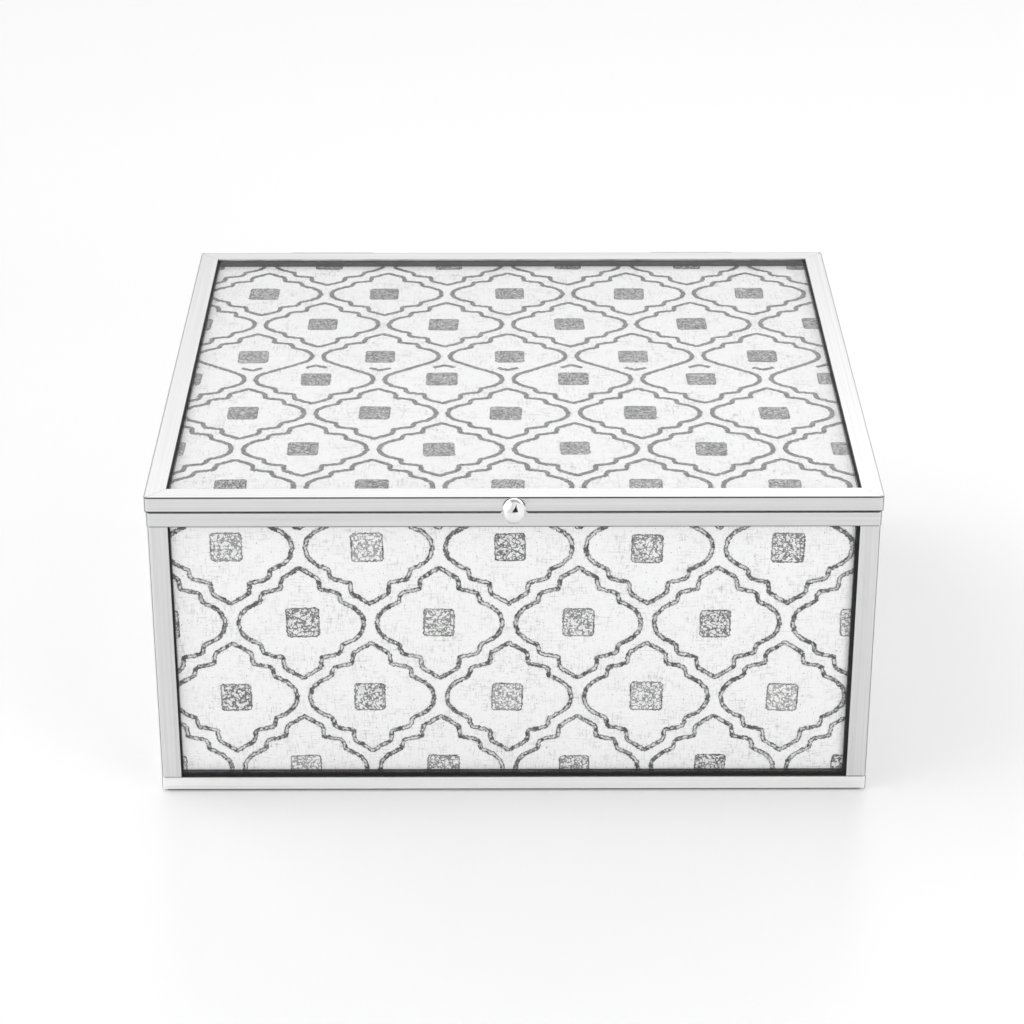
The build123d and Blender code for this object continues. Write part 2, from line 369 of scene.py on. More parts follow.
def fromSquareEdge(bench, rounding):  # how far a place lies inside a square with rounded corners
    local = bench.node("ShaderNodeSeparateXYZ", {}, {0: bench.attribute("fromMiddle", "Vector")})
    straight = bench.attribute("halfSquare") - rounding
    beyondX = abs(local) - straight
    beyondY = abs(Wire(bench, local.socket.node.outputs[1])) - straight
    cornerX = bench.maths("MAXIMUM", beyondX, 0.0)
    cornerY = bench.maths("MAXIMUM", beyondY, 0.0)
    outside = bench.maths("SQRT", cornerX * cornerX + cornerY * cornerY)
    inside = bench.maths("MINIMUM", bench.maths("MAXIMUM", beyondX, beyondY), 0.0)
    return rounding - outside - inside


def makeGreyInk(name, flatAxis):
    look = greyInk
    material, bench = newMaterial(name)
    point = bench.objectPoint()
    grain = bench.grain(point, look["grainScale"], 1.5, 0.6)
    blots = bench.grain(point, look["blotScale"], 2.0, 0.6)
    heavy = bench.spread(blots, 0.40, 0.60)
    across = bench.attribute("across") + (grain - 0.5) * look["fray"]
    onRight = across > 0.0
    lean = onRight * heavy + (1.0 - onRight) * (1.0 - heavy)  # one of the two strokes is the darker
    stroke = 1.0 - bench.spread(abs(abs(across) - look["strokeAt"]), 0.10, look["strokeSpread"])
    inside = 1.0 - bench.spread(abs(across), look["endsAt"] - 0.14, look["endsAt"])
    beads = bench.grain(point, look["wormScale"], 1.0, 0.5)
    lineFill = look["lidLineFill"] if flatAxis == 2 else look["leastFill"]
    squareFill = look["lidSquareFill"] if flatAxis == 2 else 0.0
    fill = bench.spread(beads * 0.5 + blots * 0.5, 0.42, 0.58, lineFill, look["mostFill"])
    line = inside * bench.maths("MAXIMUM", fill, stroke * (0.74 + 0.26 * lean))
    ragged = (grain - 0.5) * look["squareFray"] - look["squareMargin"]
    toEdge = fromSquareEdge(bench, look["squareRounding"]) + ragged
    inked = bench.spread(toEdge, -0.05 * mm, 0.08 * mm)
    rim = 1.0 - bench.spread(toEdge, look["squareRim"] * 0.5, look["squareRim"])
    density = bench.attribute("inkShare")
    worms = 1.0 - bench.spread(abs(beads - 0.5), 0.03, 0.11)
    specks = worms * (0.62 + density * 0.38)
    ground = density * (0.10 + 0.25 * heavy) + squareFill
    shading = 1.0 - (1.0 - ground) * (1.0 - specks)
    square = inked * bench.maths("MAXIMUM", shading, rim * (0.70 + 0.30 * heavy))
    isSquare = bench.attribute("isSquare")
    ink = bench.node("ShaderNodeClamp", {}, {"Value": line * (1.0 - isSquare) + square * isSquare})
    paper = bench.greys(paperTone(bench, flatAxis))
    inkTone = look["lidTone"] if flatAxis == 2 else look["tone"]
    coat(bench, {
        "Base Color": bench.blend(ink, paper, grey(inkTone)),
        "Roughness": look["roughness"],
    })
    return material


blackVelvet = {
    "tone": 0.010,
    "napTone": 0.030,
    "napScale": 45.0,
    "roughness": 0.95,
    "sheen": 0.35,
    "sheenTone": 0.6,
    "specular": 0.1,
    "pileScale": 2600.0,
    "pileDepth": 0.12 * mm,
}


def makeBlackVelvet():
    look = blackVelvet
    material, bench = newMaterial("blackVelvet")
    nap = bench.grain(bench.objectPoint(), look["napScale"], 3.0, 0.6)
    pile = bench.grain(bench.objectPoint(), look["pileScale"], 2.0, 0.7)
    share = bench.spread(nap * 0.7 + pile * 0.3, 0.35, 0.7)
    coat(bench, {
        "Base Color": bench.greys(share, look["tone"], look["napTone"]),
        "Roughness": look["roughness"],
        "Specular IOR Level": look["specular"],
        "Sheen Weight": look["sheen"],
        "Sheen Roughness": look["sheen"],
        "Sheen Tint": grey(look["sheenTone"]),
        "Normal": bump(bench, pile, look["pileDepth"]),
    })
    return material


blackFelt = {
    "tone": 0.020,
    "fibreTone": 0.055,
    "roughness": 0.97,
    "specular": 0.1,
    "fibreScale": 1400.0,
    "fibreDepth": 0.10 * mm,
}


def makeBlackFelt():
    look = blackFelt
    material, bench = newMaterial("blackFelt")
    fibres = bench.grain(bench.objectPoint(), look["fibreScale"], 4.0, 0.75)
    coat(bench, {
        "Base Color": bench.greys(bench.spread(fibres, 0.4, 0.7), look["tone"], look["fibreTone"]),
        "Roughness": look["roughness"],
        "Specular IOR Level": look["specular"],
        "Normal": bump(bench, fibres, look["fibreDepth"]),
    })
    return material


blackSpacer = {"tone": 0.006, "roughness": 0.55, "scuffedRoughness": 0.75, "scuffScale": 400.0}


def makeBlackSpacer():
    look = blackSpacer
    material, bench = newMaterial("blackSpacer")
    scuffs = bench.grain(bench.objectPoint(), look["scuffScale"], 2.0)
    coat(bench, {
        "Base Color": grey(look["tone"]),
        "Roughness": bench.spread(scuffs, 0.3, 0.7, look["roughness"], look["scuffedRoughness"]),
    })
    return material


paperedBoard = {"tone": 0.014, "pulpTone": 0.034, "roughness": 0.85, "pulpScale": 900.0, "depth": 0.03 * mm}


def makePaperedBoard():
    look = paperedBoard
    material, bench = newMaterial("paperedBoard")
    pulp = bench.grain(bench.objectPoint(), look["pulpScale"], 3.0, 0.6)
    coat(bench, {
        "Base Color": bench.greys(pulp, look["tone"], look["pulpTone"]),
        "Roughness": look["roughness"],
        "Normal": bump(bench, pulp, look["depth"]),
    })
    return material


def railShadeLevels(foldShadeShare):  # heights of the rails' edges, and how dark the painted shade line is there
    low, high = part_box("lid_rail_front")
    levels = [(high.z, foldShadeShare), (low.z, paintedEdgeShade["underLid"])]
    for rail in ("rim_rail_front", "base_rail_front"):
        low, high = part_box(rail)
        levels += [(low.z, paintedEdgeShade["underRail"]), (high.z, paintedEdgeShade["overRail"])]
    return levels


def makeRailSteel(name, axis, tone):  # rails along X get a darker painted shade line on their fold than those along Y
    frameCorner = Vector((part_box("lid_rail_right")[1].x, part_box("lid_rail_back")[1].y, 0))
    foldShadeShare = paintedEdgeShade["foldAlongX"] if axis == 0 else paintedEdgeShade["foldAlongY"]
    return makeBrushedSteel(name, axis, railShadeLevels(foldShadeShare), frameCorner, brushedSteel[tone])


steelAlongX = makeRailSteel("brushedSteelAlongX", 0, "tone")
steelAlongY = makeRailSteel("brushedSteelAlongY", 1, "tone")
# painted light: lighter copies of the steel for the foot rails
footPaintedLightAlongX = makeRailSteel("brushedSteelFootAlongX", 0, "baseTone")
footPaintedLightAlongY = makeRailSteel("brushedSteelFootAlongY", 1, "baseTone")
postCorner = Vector(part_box("corner_post_back_right")[1])
steelUpright = makeBrushedSteel("brushedSteelUpright", 2, [], postCorner, brushedSteel["tone"])
paperFrontBack = makeLinenPaper("linenPaperFrontBack", 1)
paperSides = makeLinenPaper("linenPaperSides", 0)
paperLid = makeLinenPaper("linenPaperLid", 2)
inkFrontBack = makeGreyInk("greyInkFrontBack", 1)
inkSides = makeGreyInk("greyInkSides", 0)
inkLid = makeGreyInk("greyInkLid", 2)
chrome = makePolishedChrome()
hingeFinish = makeHingeSteel()
glassFinish = makePaneGlass()
velvet = makeBlackVelvet()
felt = makeBlackFelt()
spacerBlack = makeBlackSpacer()
boardFinish = makePaperedBoard()
print("finishes made")


# Pieces that keep their built shape get their finish

def dress(nodeName, material):
    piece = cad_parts[nodeName]
    for slot in piece.material_slots:
        slot.material = material


for side in ("front", "right", "back", "left"):
    alongX = side in ("front", "back")
    dress(f"base_rail_{side}", footPaintedLightAlongX if alongX else footPaintedLightAlongY)
    for rail in ("rim_rail", "lid_rail"):
        dress(f"{rail}_{side}", steelAlongX if alongX else steelAlongY)
    dress(f"printed_sheet_{side}", paperFrontBack if alongX else paperSides)
    dress(f"edge_spacer_{side}", spacerBlack)
    dress(f"wall_board_{side}", boardFinish)
for corner in ("front_left", "front_right", "back_left", "back_right"):
    dress(f"corner_post_{corner}", steelUpright)
for side in ("left", "right"):
    for part in ("hinge_leaf_box", "hinge_leaf_lid", "hinge_pin"):
        dress(f"{part}_{side}", hingeFinish)
dress("lid_printed_sheet", paperLid)
dress("lid_edge_spacer", spacerBlack)
dress("lid_board", boardFinish)
dress("floor_board", boardFinish)
dress("knob_stud", chrome)
print("built pieces dressed")


# Mesh helpers

def addPiece(name, mesh, body, replaced=(), material=None):
    piece = bpy.data.objects.new(name, mesh)
    bpy.context.scene.collection.objects.link(piece)
    if material:
        mesh.materials.clear()
        mesh.materials.append(material)
    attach(piece, body)
    if replaced:
        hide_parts(*replaced)
    return piece


def meshFrom(name, build, smooth=True):
    shape = bmesh.new()
    build(shape)
    bmesh.ops.recalc_face_normals(shape, faces=shape.faces)
    mesh = bpy.data.meshes.new(name)
    shape.to_mesh(mesh)
    shape.free()
    for face in mesh.polygons:
        face.use_smooth = smooth
    return mesh


def lathe(shape, profile, middle, steps):  # turns (radius, y) points about Y, from a pole to a flat end
    pole = shape.verts.new(middle + Vector((0, profile[0][1], 0)))
    turns = [2 * pi * step / steps for step in range(steps)]
    rings = []
    for radius, y in profile[1:]:
        rings.append([shape.verts.new(middle + Vector((radius * cos(t), y, radius * sin(t)))) for t in turns])
    for step in range(steps):
        after = (step + 1) % steps
        shape.faces.new((pole, rings[0][step], rings[0][after]))
        for inner, outer in zip(rings, rings[1:]):
            shape.faces.new((inner[step], outer[step], outer[after], inner[after]))
    shape.faces.new(rings[-1])


def wallPlacement(side):  # turns a flat drawing (right, up, outwards) onto one side of the box
    outwards = {
        "front": Vector((0, -1, 0)),
        "right": Vector((1, 0, 0)),
        "back": Vector((0, 1, 0)),
        "left": Vector((-1, 0, 0)),
        "lid": Vector((0, 0, 1)),
    }[side]
    up = Vector((0, 1, 0)) if side == "lid" else Vector((0, 0, 1))
    right = up.cross(outwards)
    return Matrix((right, up, outwards)).transposed().to_4x4()


def flatLimits(nodeName, side):  # a node's lowest and highest corner in the flat drawing of its side
    back = wallPlacement(side).inverted()
    corners = [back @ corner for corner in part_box(nodeName)]
    low = Vector([min(c[i] for c in corners) for i in range(3)])
    high = Vector([max(c[i] for c in corners) for i in range(3)])
    return low, high


# Printed trellis

trellisCell = {  # a quarter of the outline, from the top to the side lobe, with each corner's rounding
    "quarter": (
        (0.0, 16.4, 0.3),
        (4.5, 13.5, 0.25),
        (4.9, 12.6, 0.2),
        (5.1, 10.2, 0.25),
        (9.7, 9.1, 0.35),
        (10.3, 8.2, 0.2),
        (10.6, 6.4, 0.35),
        (14.0, 4.6, 2.5),
        (15.9, 2.6, 2.5),
        (16.5, 0.0, 3.0),
    ),
    "seamLobe": ((15.8, -2.6, 2.5), (13.6, -4.6, 3.0), (9.0, -8.0, 1.0)),
    "seamChevron": ((-2.9, -8.1, 0.3), (0.0, -9.8, 0.3), (2.9, -8.1, 0.3)),
}


def makeOutline(name, splines):  # a flat curve; a point's radius holds the rounding of its corner
    curve = bpy.data.curves.new(name, "CURVE")
    curve.dimensions = "3D"
    for points, closed in splines:
        spline = curve.splines.new("POLY")
        spline.points.add(len(points) - 1)
        for point, (x, y, rounding) in zip(spline.points, points):
            point.co = (x * mm, y * mm, 0, 1)
            point.radius = rounding * mm
        spline.use_cyclic_u = closed
    return bpy.data.objects.new(name, curve)


def cellOutlines():
    upRight = list(trellisCell["quarter"])
    upLeft = [(-x, y, r) for x, y, r in reversed(upRight)]
    upper = upLeft[:-1] + upRight  # from the left lobe over the top to the right lobe
    lower = [(-x, -y, r) for x, y, r in upper][1:-1]
    cell = makeOutline("cellOutline", [(upper + lower, True)])
    lobe = list(trellisCell["seamLobe"])
    lobeLeft = [(-x, y, r) for x, y, r in reversed(lobe)]
    seamCell = makeOutline("seamCellOutline", [
        (lobeLeft + upper + lobe, False),
        (list(trellisCell["seamChevron"]), False),
    ])
    return cell, seamCell


def openTree(name, kinds):  # a tree with its named inputs, and the wires that come from them
    tree = bpy.data.node_groups.new(name, "GeometryNodeTree")
    bench = Bench(tree)
    for label, kind in kinds.items():
        tree.interface.new_socket(label, in_out="INPUT", socket_type="NodeSocket" + kind)
    tree.interface.new_socket("Result", in_out="OUTPUT", socket_type="NodeSocketGeometry")
    entry = tree.nodes.new("NodeGroupInput")
    return tree, bench, {label: Wire(bench, entry.outputs[label]) for label in kinds}


def closeTree(bench, geometry, finish):  # plain geometry in its finish
    plain = bench.node("GeometryNodeRealizeInstances", {}, {"Geometry": geometry})
    done = bench.node("GeometryNodeSetMaterial", {}, {"Geometry": plain, "Material": finish})
    bench.node("NodeGroupOutput", {}, {"Result": done})


trellisPrint = {
    "inkHeight": 0.04 * mm,
    "squareSize": 8.9 * mm,
    "squareRounding": 1.2 * mm,
    "squareDrift": 0.7 * mm,
    "squareTilt": 0.05,
    "squareGrowth": 0.05,
    "edgeMargin": 0.05 * mm,
    "cornerSteps": 5,
    "stepLength": 0.36 * mm,
    "wobbleScale": 850.0,
    "pressureScale": 450.0,  # a line is 0.7 to 1.3 times its width, as the pen is pressed
    "leastPressure": 0.7,
    "pressureSpread": 0.6,
}


def makeTrellisTree():
    look = trellisPrint
    tree, bench, given = openTree("trellisPrint", {
        "Cell": "Object", "Seam cell": "Object", "Ink": "Material",
        "Columns": "Int", "Rows": "Int", "Rows before seam": "Int", "Seed": "Int",
        "First column": "Float", "First row": "Float", "Column spacing": "Float", "Row spacing": "Float",
        "Far row spacing": "Float", "Seam gap": "Float", "Line width": "Float", "Ink height": "Float",
        "Wobble": "Float", "Square size": "Float", "Square rounding": "Float", "Square drift": "Float",
        "Least density": "Float", "Most density": "Float",
    })

    # Places of the cells, row by row
    index = bench.node("GeometryNodeInputIndex")
    row = bench.maths("FLOOR", (index + 0.5) / given["Columns"])
    column = index - row * given["Columns"]
    before = given["Rows before seam"]
    past = row > (before - 0.5)
    x = given["First column"] + (column + (row % 2.0) * 0.5) * given["Column spacing"]
    nearRows = bench.maths("MINIMUM", row, before - 1.0)
    y = given["First row"] + nearRows * given["Row spacing"] \
        + past * (given["Seam gap"] + (row - before) * given["Far row spacing"])
    places = bench.node("GeometryNodePoints", {}, {
        "Count": given["Rows"] * given["Columns"],
        "Position": bench.vector(x, y, 0.0),
        "Radius": 1.0 * mm,
    })
    density = bench.random(given["Least density"], given["Most density"], given["Seed"])
    places = bench.store(places, "inkShare", density)

    # Outlines, with the two rows beside the seam cut by it
    belowSeam = abs(row - (before - 1.0)) < 0.5
    aboveSeam = abs(row - before) < 0.5
    whole = bench.node("GeometryNodeObjectInfo", {}, {"Object": given["Cell"]}, "Geometry")
    cut = bench.node("GeometryNodeObjectInfo", {}, {"Object": given["Seam cell"]}, "Geometry")
    onPlain = {"Points": places, "Selection": 1.0 - belowSeam - aboveSeam, "Instance": whole}
    onSeam = {
        "Points": places,
        "Selection": belowSeam + aboveSeam,
        "Instance": cut,
        "Rotation": bench.vector(0.0, 0.0, belowSeam * pi),
    }
    outlines = bench.node("GeometryNodeJoinGeometry", {}, {"Geometry": [
        bench.node("GeometryNodeInstanceOnPoints", {}, onSeam),
        bench.node("GeometryNodeInstanceOnPoints", {}, onPlain),
    ]})
    outlines = bench.node("GeometryNodeRealizeInstances", {}, {"Geometry": outlines})
    rounding = bench.node("GeometryNodeInputRadius")
    outlines = bench.node("GeometryNodeFilletCurve", {"mode": "POLY"}, {
        "Curve": outlines, "Count": look["cornerSteps"], "Radius": rounding, "Limit Radius": True,
    })
    outlines = bench.node("GeometryNodeResampleCurve", {"mode": "LENGTH"}, {
        "Curve": outlines, "Length": look["stepLength"],
    })
    shake = bench.node("ShaderNodeTexNoise", {"noise_dimensions": "4D"}, {
        "W": given["Seed"] * 1.7, "Scale": look["wobbleScale"], "Detail": 1.0, "Roughness": 0.6,
    }, "Color")
    shake = bench.vectorMaths("SUBTRACT", shake, (0.5, 0.5, 0.5))
    reach = bench.vector(given["Wobble"], given["Wobble"], 0.0)
    outlines = bench.node("GeometryNodeSetPosition", {}, {
        "Geometry": outlines, "Offset": bench.vectorMaths("MULTIPLY", shake, reach),
    })
    outlines = bench.node("GeometryNodeSetCurveNormal", {"mode": "Z_UP"}, {"Curve": outlines})

    # A flat ribbon along each outline
    nib = bench.node("GeometryNodeCurvePrimitiveQuadrilateral", {"mode": "RECTANGLE"}, {
        "Width": given["Line width"], "Height": given["Ink height"],
    })
    place = bench.node("GeometryNodeInputPosition")
    sideways = bench.node("ShaderNodeSeparateXYZ", {}, {0: place})
    nib = bench.store(nib, "across", sideways * 2.0 / given["Line width"])
    pressure = bench.node("ShaderNodeTexNoise", {"noise_dimensions": "4D"}, {
        "W": given["Seed"] * 1.3 + 7.0, "Scale": look["pressureScale"], "Detail": 2.0,
    })
    ribbons = bench.node("GeometryNodeCurveToMesh", {}, {
        "Curve": outlines, "Profile Curve": nib, "Fill Caps": True,
        "Scale": look["leastPressure"] + look["pressureSpread"] * pressure,
    })
    ribbons = bench.store(ribbons, "isSquare", 0.0)

    # A stippled square in the middle of each cell
    outline = bench.node("GeometryNodeCurvePrimitiveQuadrilateral", {"mode": "RECTANGLE"}, {
        "Width": given["Square size"], "Height": given["Square size"],
    })
    outline = bench.node("GeometryNodeFilletCurve", {"mode": "POLY"}, {
        "Curve": outline, "Count": look["cornerSteps"], "Radius": given["Square rounding"],
    })
    rise = bench.node("GeometryNodeCurvePrimitiveLine", {"mode": "POINTS"}, {
        "Start": bench.vector(0.0, 0.0, given["Ink height"] * -0.5),
        "End": bench.vector(0.0, 0.0, given["Ink height"] * 0.5),
    })
    square = bench.node("GeometryNodeCurveToMesh", {}, {
        "Curve": rise, "Profile Curve": outline, "Fill Caps": True,
    })
    square = bench.store(square, "fromMiddle", place, "FLOAT_VECTOR")
    square = bench.store(square, "isSquare", 1.0)
    square = bench.store(square, "halfSquare", given["Square size"] * 0.5)
    tilt = bench.random(-look["squareTilt"], look["squareTilt"], given["Seed"] + 3.0)
    growth = bench.random(1.0 - look["squareGrowth"], 1.0 + look["squareGrowth"], given["Seed"] + 5.0)
    drift = bench.random((-1.0, -0.5, 0.0), (1.0, 0.5, 0.0), given["Seed"] + 11.0, "FLOAT_VECTOR")
    reach = bench.vector(given["Square drift"], given["Square drift"], 0.0)
    drifted = bench.node("GeometryNodeSetPosition", {}, {
        "Geometry": places, "Offset": bench.vectorMaths("MULTIPLY", drift, reach),
    })
    squares = bench.node("GeometryNodeInstanceOnPoints", {}, {
        "Points": drifted,
        "Instance": square,
        "Rotation": bench.vector(0.0, 0.0, tilt),
        "Scale": bench.vector(growth, growth, 1.0),
    })

    together = bench.node("GeometryNodeJoinGeometry", {}, {"Geometry": [squares, ribbons]})
    closeTree(bench, together, given["Ink"])
    return tree


wallPrint = {
    "columnSpacing": 36.3 * mm,
    "rowSpacing": 22.2 * mm,
    "firstRow": 5.8 * mm,
    "rows": 5,
    "columns": 8,
    "firstShift": 0.5,  # the lowest row of a wall stands between the columns
    "rowsBeforeSeam": 99,  # the seam is only on the lid
    "farRowSpacing": 0.0,
    "seamGap": 0.0,
    "leastDensity": 0.05,
    "mostDensity": 0.75,
    "lineWidth": 1.5 * mm,
    "wobble": 0.62 * mm,
}
wallPrintMiddle = {"front": -1.3 * mm, "right": 4.0 * mm, "back": -9.0 * mm, "left": 12.0 * mm}
lidPrint = {
    "middle": -1.4 * mm,
    "columnSpacing": 36.05 * mm,
    "rowSpacing": 22.95 * mm,
    "farRowSpacing": 23.5 * mm,
    "firstRow": -74.7 * mm,
    "rows": 9,
    "rowsBeforeSeam": 4,
    "seamGap": 16.0 * mm,
    "columns": 8,
    "firstShift": 0.0,
    "leastDensity": 0.65,
    "mostDensity": 1.0,
    "lineWidth": 1.65 * mm,
    "wobble": 0.85 * mm,
}


def evaluatedMesh(carrier, name):
    deps = bpy.context.evaluated_depsgraph_get()
    mesh = bpy.data.meshes.new_from_object(carrier.evaluated_get(deps), depsgraph=deps)
    mesh.name = name
    return mesh


def runTree(tree, name, values):  # evaluates a tree on an empty carrier and returns a plain mesh
    carrier = bpy.data.objects.new(name + "Carrier", bpy.data.meshes.new(name + "Carrier"))
    bpy.context.scene.collection.objects.link(carrier)
    modifier = carrier.modifiers.new(name, "NODES")
    modifier.node_group = tree
    sockets = {item.name: item.identifier for item in tree.interface.items_tree if item.in_out == "INPUT"}
    for key, value in values.items():
        modifier[sockets[key]] = value
    mesh = evaluatedMesh(carrier, name)
    carrier.modifiers.remove(modifier)
    bpy.data.objects.remove(carrier)
    return mesh


def trimToSheet(mesh, low, high):  # cuts a flat print along the four edges of its sheet
    shape = bmesh.new()
    shape.from_mesh(mesh)
    for corner, sign in ((low, -1), (high, 1)):
        for axis in (0, 1):
            normal = Vector((0, 0, 0))
            normal[axis] = sign
            everything = shape.verts[:] + shape.edges[:] + shape.faces[:]
            bmesh.ops.bisect_plane(shape, geom=everything, dist=1e-7, plane_co=corner, plane_no=normal,
                                   clear_outer=True)
            rims = [edge for edge in shape.edges if edge.is_boundary]
            bmesh.ops.holes_fill(shape, edges=rims, sides=0)
    shape.to_mesh(mesh)
    shape.free()


def valueName(label):  # the name that an input's value has in the dictionaries
    first, *others = label.split()
    return first.lower() + "".join(word.capitalize() for word in others)


def addPrint(side, nodeName, body, look, middle, material, seed, tree, outlines):
    low, high = flatLimits(nodeName, side)
    inset = Vector((trellisPrint["edgeMargin"], trellisPrint["edgeMargin"], 0))
    sizes = {**trellisPrint, **look, "cell": outlines[0], "seamCell": outlines[1],
             "ink": material, "seed": seed,
             "firstColumn": middle + (look["firstShift"] - look["columns"] // 2) * look["columnSpacing"]}
    labels = [item.name for item in tree.interface.items_tree if item.in_out == "INPUT"]
    mesh = runTree(tree, f"trellis_print_{side}", {label: sizes[valueName(label)] for label in labels})
    trimToSheet(mesh, low + inset, high - inset)
    onSheet = Matrix.Translation((0, 0, high.z + trellisPrint["inkHeight"] / 2))
    mesh.transform(wallPlacement(side) @ onSheet)
    piece = addPiece(f"trellis_print_{side}", mesh, body)
    print(piece.name, len(mesh.polygons), "faces")


trellisTree = makeTrellisTree()
outlines = cellOutlines()
for seed, side in enumerate(("front", "right", "back", "left")):
    ink = inkFrontBack if side in ("front", "back") else inkSides
    addPrint(side, f"printed_sheet_{side}", "box", wallPrint, wallPrintMiddle[side], ink, seed + 1,
             trellisTree, outlines)
addPrint("lid", "lid_printed_sheet", "lid", lidPrint, lidPrint["middle"], inkLid, 9, trellisTree, outlines)
for outline in outlines:
    bpy.data.objects.remove(outline)
print("trellis printed")


# Glass panes, a hair in front of the print, with ground edges

glassPane = {"gapToSheet": 0.12 * mm, "edgeBevel": 0.25 * mm, "bevelSteps": 2}


def addPane(name, nodeName, side, body):
    low, high = flatLimits(nodeName, side)
    low.z += glassPane["gapToSheet"]

    def build(shape):
        made = bmesh.ops.create_cube(shape, size=1.0)
        size = high - low
        bmesh.ops.scale(shape, vec=size, verts=made["verts"])
        bmesh.ops.translate(shape, vec=(low + high) / 2, verts=made["verts"])
        bmesh.ops.bevel(shape, geom=shape.edges[:], offset=glassPane["edgeBevel"],
                        segments=glassPane["bevelSteps"], affect="EDGES", profile=0.5)

    mesh = meshFrom(name, build, smooth=False)
    mesh.transform(wallPlacement(side))
    addPiece(name, mesh, body, [nodeName], glassFinish)


for side in ("front", "right", "back", "left"):
    addPane(f"pane_{side}", f"glass_{side}", side, "box")
addPane("pane_lid", "lid_glass", "lid", "lid")
print("panes set")


# Polished ball on its neck

ballKnob = {"neckRadius": 1.6 * mm, "turnSteps": 96, "arcSteps": 40, "neckFillet": 0.25 * mm}


def addBall():
    low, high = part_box("knob_ball")
    radius = (high.x - low.x) / 2
    middle = Vector((0, low.y + radius, (low.z + high.z) / 2))
    neckReach = sqrt(radius**2 - ballKnob["neckRadius"]**2)

    def build(shape):
        profile = [(0.0, -radius)]
        last = pi - ballKnob["neckRadius"] / radius
        for step in range(1, ballKnob["arcSteps"] + 1):
            angle = last * step / ballKnob["arcSteps"]
            if -cos(angle) * radius < neckReach:
                profile.append((sin(angle) * radius, -cos(angle) * radius))
        profile.append((ballKnob["neckRadius"] + 0.03 * mm, neckReach - 0.02 * mm))
        profile.append((ballKnob["neckRadius"], neckReach + ballKnob["neckFillet"] * 0.4))
        profile.append((ballKnob["neckRadius"], high.y - middle.y))
        lathe(shape, profile, middle, ballKnob["turnSteps"])

    mesh = meshFrom("polished_ball", build)
    addPiece("polished_ball", mesh, "lid", ["knob_ball"], chrome)


addBall()
print("ball turned")


# Hinge rivets

hingeRivet = {
    "headRadius": 0.95 * mm,
    "domeHeight": 0.5 * mm,
    "domeSteps": 8,
    "shankRadius": 0.45 * mm,
    "turnSteps": 24,
    "fromHingeMiddle": 8.5 * mm,
}


def makeRivetTree():
    kinds = {"Places": "Object", "Rivet": "Object", "Finish": "Material"}
    tree, bench, given = openTree("rivetRow", kinds)
    places = bench.node("GeometryNodeObjectInfo", {}, {"Object": given["Places"]}, "Geometry")
    rivet = bench.node("GeometryNodeObjectInfo", {}, {"Object": given["Rivet"]}, "Geometry")
    turn = bench.random(0.0, pi, 2)
    rivets = bench.node("GeometryNodeInstanceOnPoints", {}, {
        "Points": places, "Instance": rivet, "Rotation": bench.vector(0.0, turn, 0.0),
    })
    closeTree(bench, rivets, given["Finish"])
    return tree


def addRivets(name, nodeName, body, tree):
    low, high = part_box(nodeName)
    look = hingeRivet
    headBase = -look["domeHeight"]

    def buildRivet(shape):  # head towards +Y with its top at the origin
        angles = [pi / 2 * step / look["domeSteps"] for step in range(look["domeSteps"], -1, -1)]
        profile = [(look["headRadius"] * cos(a), headBase * (1 - sin(a))) for a in angles]
        profile += [(look["shankRadius"], headBase), (look["shankRadius"], low.y - high.y)]
        lathe(shape, profile, Vector(), look["turnSteps"])

    hingeMiddle = high.x - look["headRadius"] - look["fromHingeMiddle"]
    spots = bpy.data.meshes.new(name + "Spots")
    corners = [(side * hingeMiddle + offset, high.y, (low.z + high.z) / 2)
               for side in (-1, 1) for offset in (-look["fromHingeMiddle"], look["fromHingeMiddle"])]
    spots.from_pydata(corners, [], [])
    places = bpy.data.objects.new(name + "Spots", spots)
    rivet = bpy.data.objects.new(name + "Rivet", meshFrom(name + "Rivet", buildRivet))
    mesh = runTree(tree, name, {"Places": places, "Rivet": rivet, "Finish": hingeFinish})
    bpy.data.objects.remove(places)
    bpy.data.objects.remove(rivet)
    addPiece(name, mesh, body, [nodeName])


rivetTree = makeRivetTree()
addRivets("rivets_box", "hinge_nails_box", "box", rivetTree)
addRivets("rivets_lid", "hinge_nails_lid", "lid", rivetTree)
print("rivets set")


# Velvet pads and wall cards

velvetPad = {
    "round": 1.3 * mm,
    "roundSteps": 6,
    "cell": 3.2 * mm,
    "foot": 0.5 * mm,
    "unevenness": 0.10 * mm,
    "unevenScale": 55,
    "cushion": {"crown": 0.35 * mm, "fill": 0.6, "blown": True},
    "card": {"crown": 0.12 * mm, "fill": 0.2, "blown": False},
}
velvetPuff = {
    "cap": 0.9 * mm,
    "pressure": 1.6,
    "frames": 20,
    "quality": 6,
    "mass": 0.2,
    "stiffness": 12,
    "bending": 0.4,
    "gluedRim": 0.3,
}


def cushionLines(low, high):  # grid lines along one axis, close together where the edge turns over
    look = velvetPad
    edge = [look["round"] * (1 - cos(pi / 2 * k / look["roundSteps"])) for k in range(look["roundSteps"])]
    span = high - low - 2 * look["round"]
    count = max(2, round(span / look["cell"]))
    middle = [low + look["round"] + span * k / count for k in range(count + 1)]
    return [low + e for e in edge] + middle + [high - e for e in reversed(edge)]


